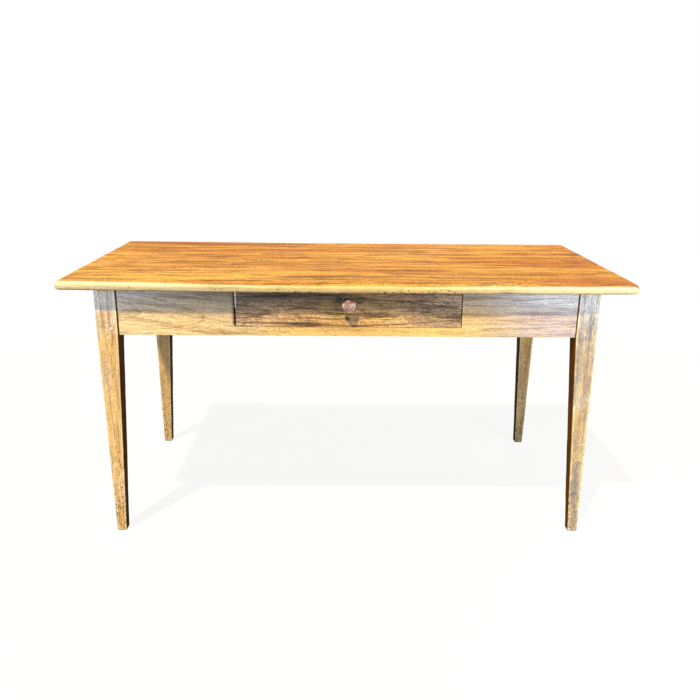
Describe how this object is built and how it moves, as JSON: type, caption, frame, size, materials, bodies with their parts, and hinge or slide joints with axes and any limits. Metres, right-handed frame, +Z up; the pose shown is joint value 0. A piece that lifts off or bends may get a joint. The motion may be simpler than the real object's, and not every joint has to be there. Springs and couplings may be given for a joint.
{
  "type": "farmhouse dining table",
  "caption": "Rectangular farmhouse dining table with a boarded top, bullnose edge, tapered square legs, pegged aprons and a central apron drawer with a turned knob.",
  "frame": {"origin": "on the floor, under the middle of the top", "axes": "+X along the table's length, -Y towards the drawer side, +Z up"},
  "size_m": [1.57, 0.74, 0.76],
  "materials": {
    "top_wood": "old waxed honey brown",
    "frame_wood": "old worn golden tan",
    "drawer_front_wood": "old waxed walnut brown",
    "knob_wood": "turned, polished by hands",
    "peg_wood": "end grain, worn",
    "inner_wood": "bare, unfinished",
    "iron_fastenings": "dull, darkened"
  },
  "bodies": {
    "table": {"top_board_front": "top_wood", "top_board_middle": "top_wood", "top_board_back": "top_wood", "top_joint_tongues": "inner_wood", "leg_front_left": "frame_wood", "leg_front_right": "frame_wood", "leg_back_left": "frame_wood", "leg_back_right": "frame_wood", "apron_front": "frame_wood", "apron_back": "frame_wood", "apron_left": "frame_wood", "apron_right": "frame_wood", "joint_pegs_front": "peg_wood", "joint_pegs_back": "peg_wood", "joint_pegs_left": "peg_wood", "joint_pegs_right": "peg_wood", "top_buttons": "inner_wood", "button_screws": "iron_fastenings", "drawer_runner_left": "inner_wood", "drawer_runner_right": "inner_wood", "drawer_guide_left": "inner_wood", "drawer_guide_right": "inner_wood", "drawer_stop_left": "inner_wood", "drawer_stop_right": "inner_wood"},
    "drawer": {"drawer_front": "drawer_front_wood", "drawer_side_left": "inner_wood", "drawer_side_right": "inner_wood", "drawer_back": "inner_wood", "drawer_bottom": "inner_wood", "drawer_bottom_nails": "iron_fastenings", "drawer_knob": "knob_wood"}
  },
  "joints": [
    {"name": "drawer_slide", "type": "slide", "parent": "table", "child": "drawer", "axis": [0, -1, 0], "range_m": [0, 0.33]}
  ]
}
